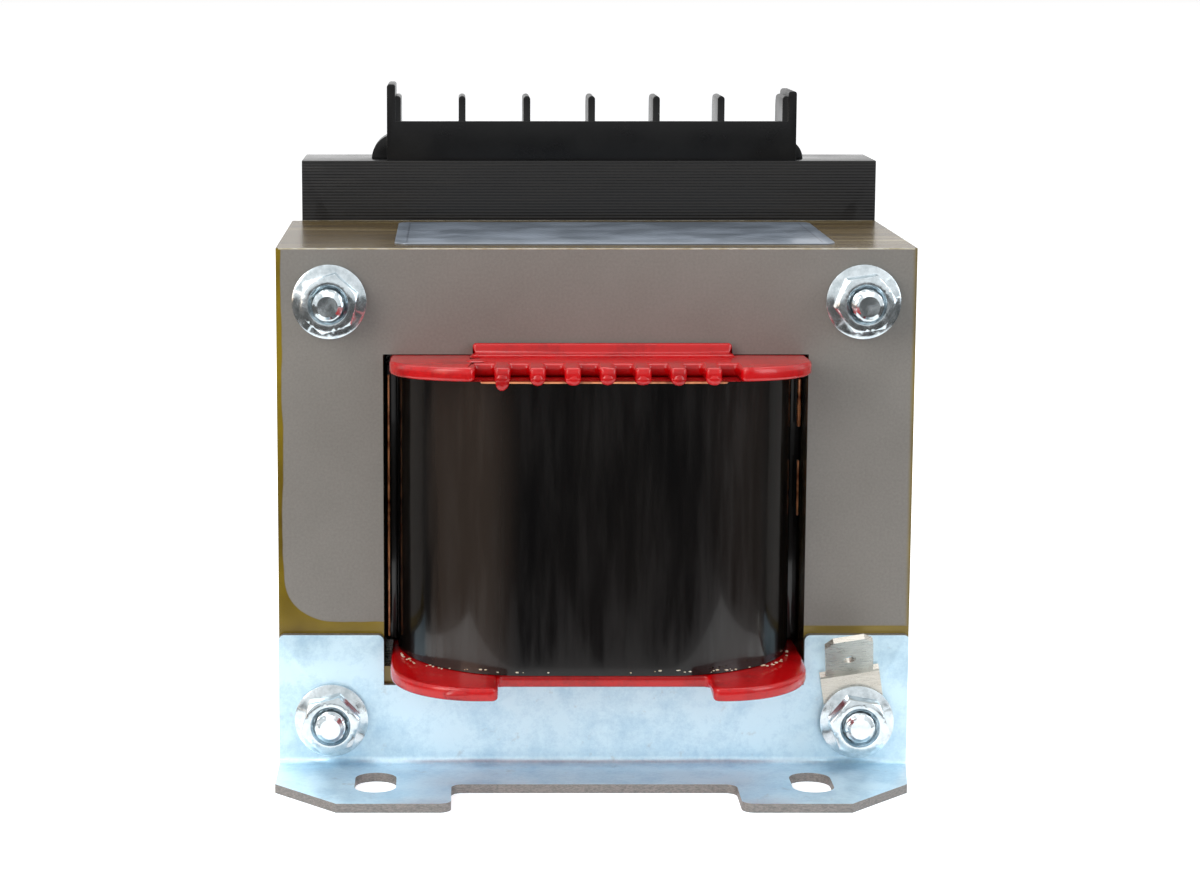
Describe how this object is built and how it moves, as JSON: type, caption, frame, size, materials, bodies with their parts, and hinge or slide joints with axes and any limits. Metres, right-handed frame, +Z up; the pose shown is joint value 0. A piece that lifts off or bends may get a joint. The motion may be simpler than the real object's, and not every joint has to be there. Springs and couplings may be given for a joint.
{
  "type": "laminated chassis transformer",
  "caption": "Laminated chassis transformer with an interleaved shell core, a wound bobbin, slotted sheet steel feet, an earth tab and a row of screw terminals.",
  "frame": {"origin": "on the mounting surface, under the centre of the core", "axes": "+X across the core towards the earth tab, +Y from the clamping nuts towards the terminals, +Z up from the mounting surface"},
  "size_m": [0.084, 0.0844, 0.0897],
  "materials": {
    "core_steel": "varnished silicon steel sheet",
    "bobbin_red": "glossy moulded nylon under varnish",
    "copper_wire": "enamelled copper wire under varnish",
    "barrier_film": "polyester film wound in turns",
    "black_tape": "black polyester tape under glossy varnish",
    "zinc_sheet": "bright zinc plated sheet steel, slightly blue",
    "zinc_hardware": "bright zinc plated steel",
    "tinned_brass": "tinned brass sheet",
    "label_foil": "satin silver polyester film",
    "black_moulding": "black glass filled nylon"
  },
  "bodies": {
    "root": {"e_laminations": "core_steel", "i_laminations": "core_steel", "bobbin": "bobbin_red", "primary_winding": "copper_wire", "winding_barrier": "barrier_film", "secondary_winding": "copper_wire", "coil_tape": "black_tape", "front_foot": "zinc_sheet", "rear_foot": "zinc_sheet", "bolt_upper_left": "zinc_hardware", "bolt_upper_right": "zinc_hardware", "bolt_lower_left": "zinc_hardware", "bolt_lower_right": "zinc_hardware", "nut_upper_left": "zinc_hardware", "nut_upper_right": "zinc_hardware", "nut_lower_left": "zinc_hardware", "nut_lower_right": "zinc_hardware", "earth_tab": "tinned_brass", "rating_label": "label_foil", "terminal_angle": "black_moulding", "terminal_strip": "black_moulding", "terminal_plates": "tinned_brass", "wire_clamps": "tinned_brass", "terminal_screws": "zinc_hardware", "lead_1": "copper_wire", "lead_2": "copper_wire", "lead_3": "copper_wire", "lead_4": "copper_wire", "lead_5": "copper_wire", "lead_6": "copper_wire"}
  },
  "joints": []
}
